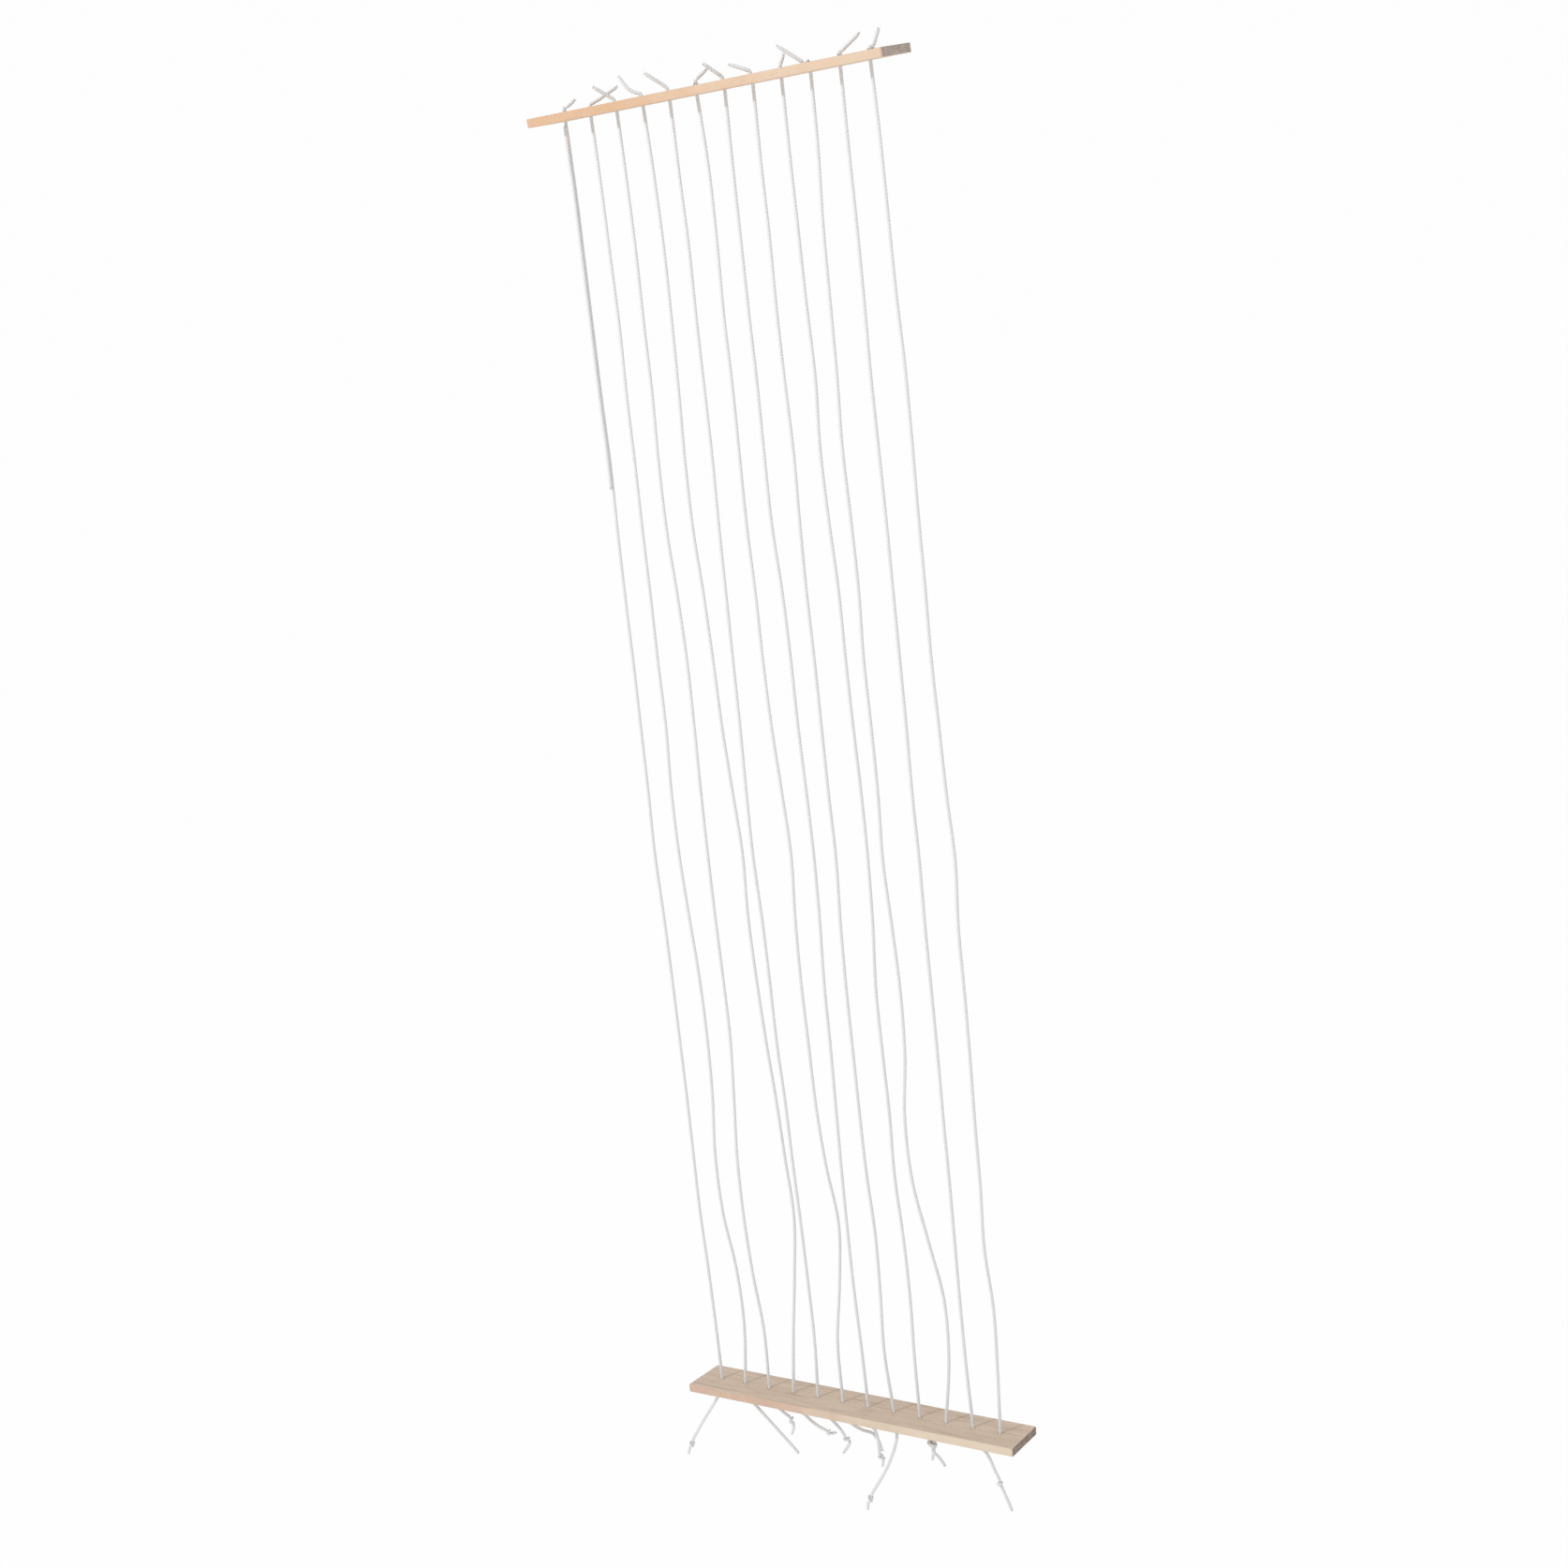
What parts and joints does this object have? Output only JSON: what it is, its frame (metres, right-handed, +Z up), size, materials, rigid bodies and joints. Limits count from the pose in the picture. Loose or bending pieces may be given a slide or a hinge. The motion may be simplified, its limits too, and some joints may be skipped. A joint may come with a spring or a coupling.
{
  "type": "hanging loom",
  "caption": "Hanging loom of two drilled wooden laths joined by a row of long white warp cords with loose knotted ends.",
  "frame": {"origin": "middle of the top lath's back edge, where the loom is fastened", "axes": "+X along the laths, +Y to the back, +Z up; the warp hangs along -Z"},
  "size_m": [0.3453, 0.0503, 1.247],
  "materials": {
    "wood": "bare planed pale wood, matt",
    "cord": "white twisted cotton cord, matt"
  },
  "bodies": {
    "frame": {"top_lath": "wood", "upper_tail_01": "cord", "upper_tail_02": "cord", "upper_tail_03": "cord", "upper_tail_04": "cord", "upper_tail_05": "cord", "upper_tail_06": "cord", "upper_tail_07": "cord", "upper_tail_08": "cord", "upper_tail_09": "cord", "upper_tail_10": "cord", "upper_tail_11": "cord", "upper_tail_12": "cord"},
    "warp": {"upper_bend_06": "cord"},
    "warp_cord_01": {"cord_01": "cord", "cord_01_strand": "cord"},
    "warp_cord_02": {"cord_02": "cord"},
    "warp_cord_03": {"cord_03": "cord"},
    "warp_cord_04": {"cord_04": "cord"},
    "warp_cord_05": {"cord_05": "cord"},
    "warp_cord_06": {"cord_06": "cord"},
    "warp_cord_07": {"cord_07": "cord"},
    "warp_cord_08": {"cord_08": "cord"},
    "warp_cord_09": {"cord_09": "cord"},
    "warp_cord_10": {"cord_10": "cord"},
    "warp_cord_11": {"cord_11": "cord"},
    "warp_cord_12": {"cord_12": "cord"},
    "lath_hanger": {"lower_bend_06": "cord"},
    "lower_lath": {"bottom_lath": "wood", "lower_tail_01": "cord", "lower_tail_02": "cord", "lower_tail_03": "cord", "lower_tail_04": "cord", "lower_tail_05": "cord", "lower_tail_06": "cord", "lower_tail_07": "cord", "lower_tail_08": "cord", "lower_tail_09": "cord", "lower_tail_10": "cord", "lower_tail_11": "cord", "lower_tail_12": "cord"}
  },
  "joints": [
    {"name": "warp_swing", "type": "hinge", "parent": "frame", "child": "warp", "pos_m": [-0.014, -0.02397, -0.00885], "axis": [1, 0, 0], "range_deg": [-35, 35]},
    {"name": "warp_sway", "type": "hinge", "parent": "warp", "child": "warp_cord_06", "pos_m": [-0.014, -0.02397, -0.00885], "axis": [0, 1, 0], "range_deg": [-30, 30]},
    {"name": "cord_sway_01", "type": "hinge", "parent": "warp", "child": "warp_cord_01", "pos_m": [-0.144, -0.02397, -0.00885], "axis": [0, 1, 0], "range_deg": [-30, 30]},
    {"name": "cord_sway_02", "type": "hinge", "parent": "warp", "child": "warp_cord_02", "pos_m": [-0.118, -0.02397, -0.00885], "axis": [0, 1, 0], "range_deg": [-30, 30]},
    {"name": "cord_sway_03", "type": "hinge", "parent": "warp", "child": "warp_cord_03", "pos_m": [-0.092, -0.02397, -0.00885], "axis": [0, 1, 0], "range_deg": [-30, 30]},
    {"name": "cord_sway_04", "type": "hinge", "parent": "warp", "child": "warp_cord_04", "pos_m": [-0.066, -0.02397, -0.00885], "axis": [0, 1, 0], "range_deg": [-30, 30]},
    {"name": "cord_sway_05", "type": "hinge", "parent": "warp", "child": "warp_cord_05", "pos_m": [-0.04, -0.02397, -0.00885], "axis": [0, 1, 0], "range_deg": [-30, 30]},
    {"name": "cord_sway_07", "type": "hinge", "parent": "warp", "child": "warp_cord_07", "pos_m": [0.012, -0.02397, -0.00885], "axis": [0, 1, 0], "range_deg": [-30, 30]},
    {"name": "cord_sway_08", "type": "hinge", "parent": "warp", "child": "warp_cord_08", "pos_m": [0.038, -0.02397, -0.00885], "axis": [0, 1, 0], "range_deg": [-30, 30]},
    {"name": "cord_sway_09", "type": "hinge", "parent": "warp", "child": "warp_cord_09", "pos_m": [0.064, -0.02397, -0.00885], "axis": [0, 1, 0], "range_deg": [-30, 30]},
    {"name": "cord_sway_10", "type": "hinge", "parent": "warp", "child": "warp_cord_10", "pos_m": [0.09, -0.02397, -0.00885], "axis": [0, 1, 0], "range_deg": [-30, 30]},
    {"name": "cord_sway_11", "type": "hinge", "parent": "warp", "child": "warp_cord_11", "pos_m": [0.116, -0.02397, -0.00885], "axis": [0, 1, 0], "range_deg": [-30, 30]},
    {"name": "cord_sway_12", "type": "hinge", "parent": "warp", "child": "warp_cord_12", "pos_m": [0.142, -0.02397, -0.00885], "axis": [0, 1, 0], "range_deg": [-30, 30]},
    {"name": "lath_level", "type": "hinge", "parent": "warp_cord_06", "child": "lath_hanger", "pos_m": [-0.014, -0.02414, -1.13834], "axis": [0, 1, 0], "range_deg": [-30, 30]},
    {"name": "lath_roll", "type": "hinge", "parent": "lath_hanger", "child": "lower_lath", "pos_m": [-0.014, -0.02414, -1.13834], "axis": [1, 0, 0], "range_deg": [-60, 60]}
  ],
  "couplings": [
    {"joint": "cord_sway_01", "follows": "warp_sway", "ratio": 1},
    {"joint": "cord_sway_02", "follows": "warp_sway", "ratio": 1},
    {"joint": "cord_sway_03", "follows": "warp_sway", "ratio": 1},
    {"joint": "cord_sway_04", "follows": "warp_sway", "ratio": 1},
    {"joint": "cord_sway_05", "follows": "warp_sway", "ratio": 1},
    {"joint": "cord_sway_07", "follows": "warp_sway", "ratio": 1},
    {"joint": "cord_sway_08", "follows": "warp_sway", "ratio": 1},
    {"joint": "cord_sway_09", "follows": "warp_sway", "ratio": 1},
    {"joint": "cord_sway_10", "follows": "warp_sway", "ratio": 1},
    {"joint": "cord_sway_11", "follows": "warp_sway", "ratio": 1},
    {"joint": "cord_sway_12", "follows": "warp_sway", "ratio": 1},
    {"joint": "lath_level", "follows": "warp_sway", "ratio": -1}
  ]
}
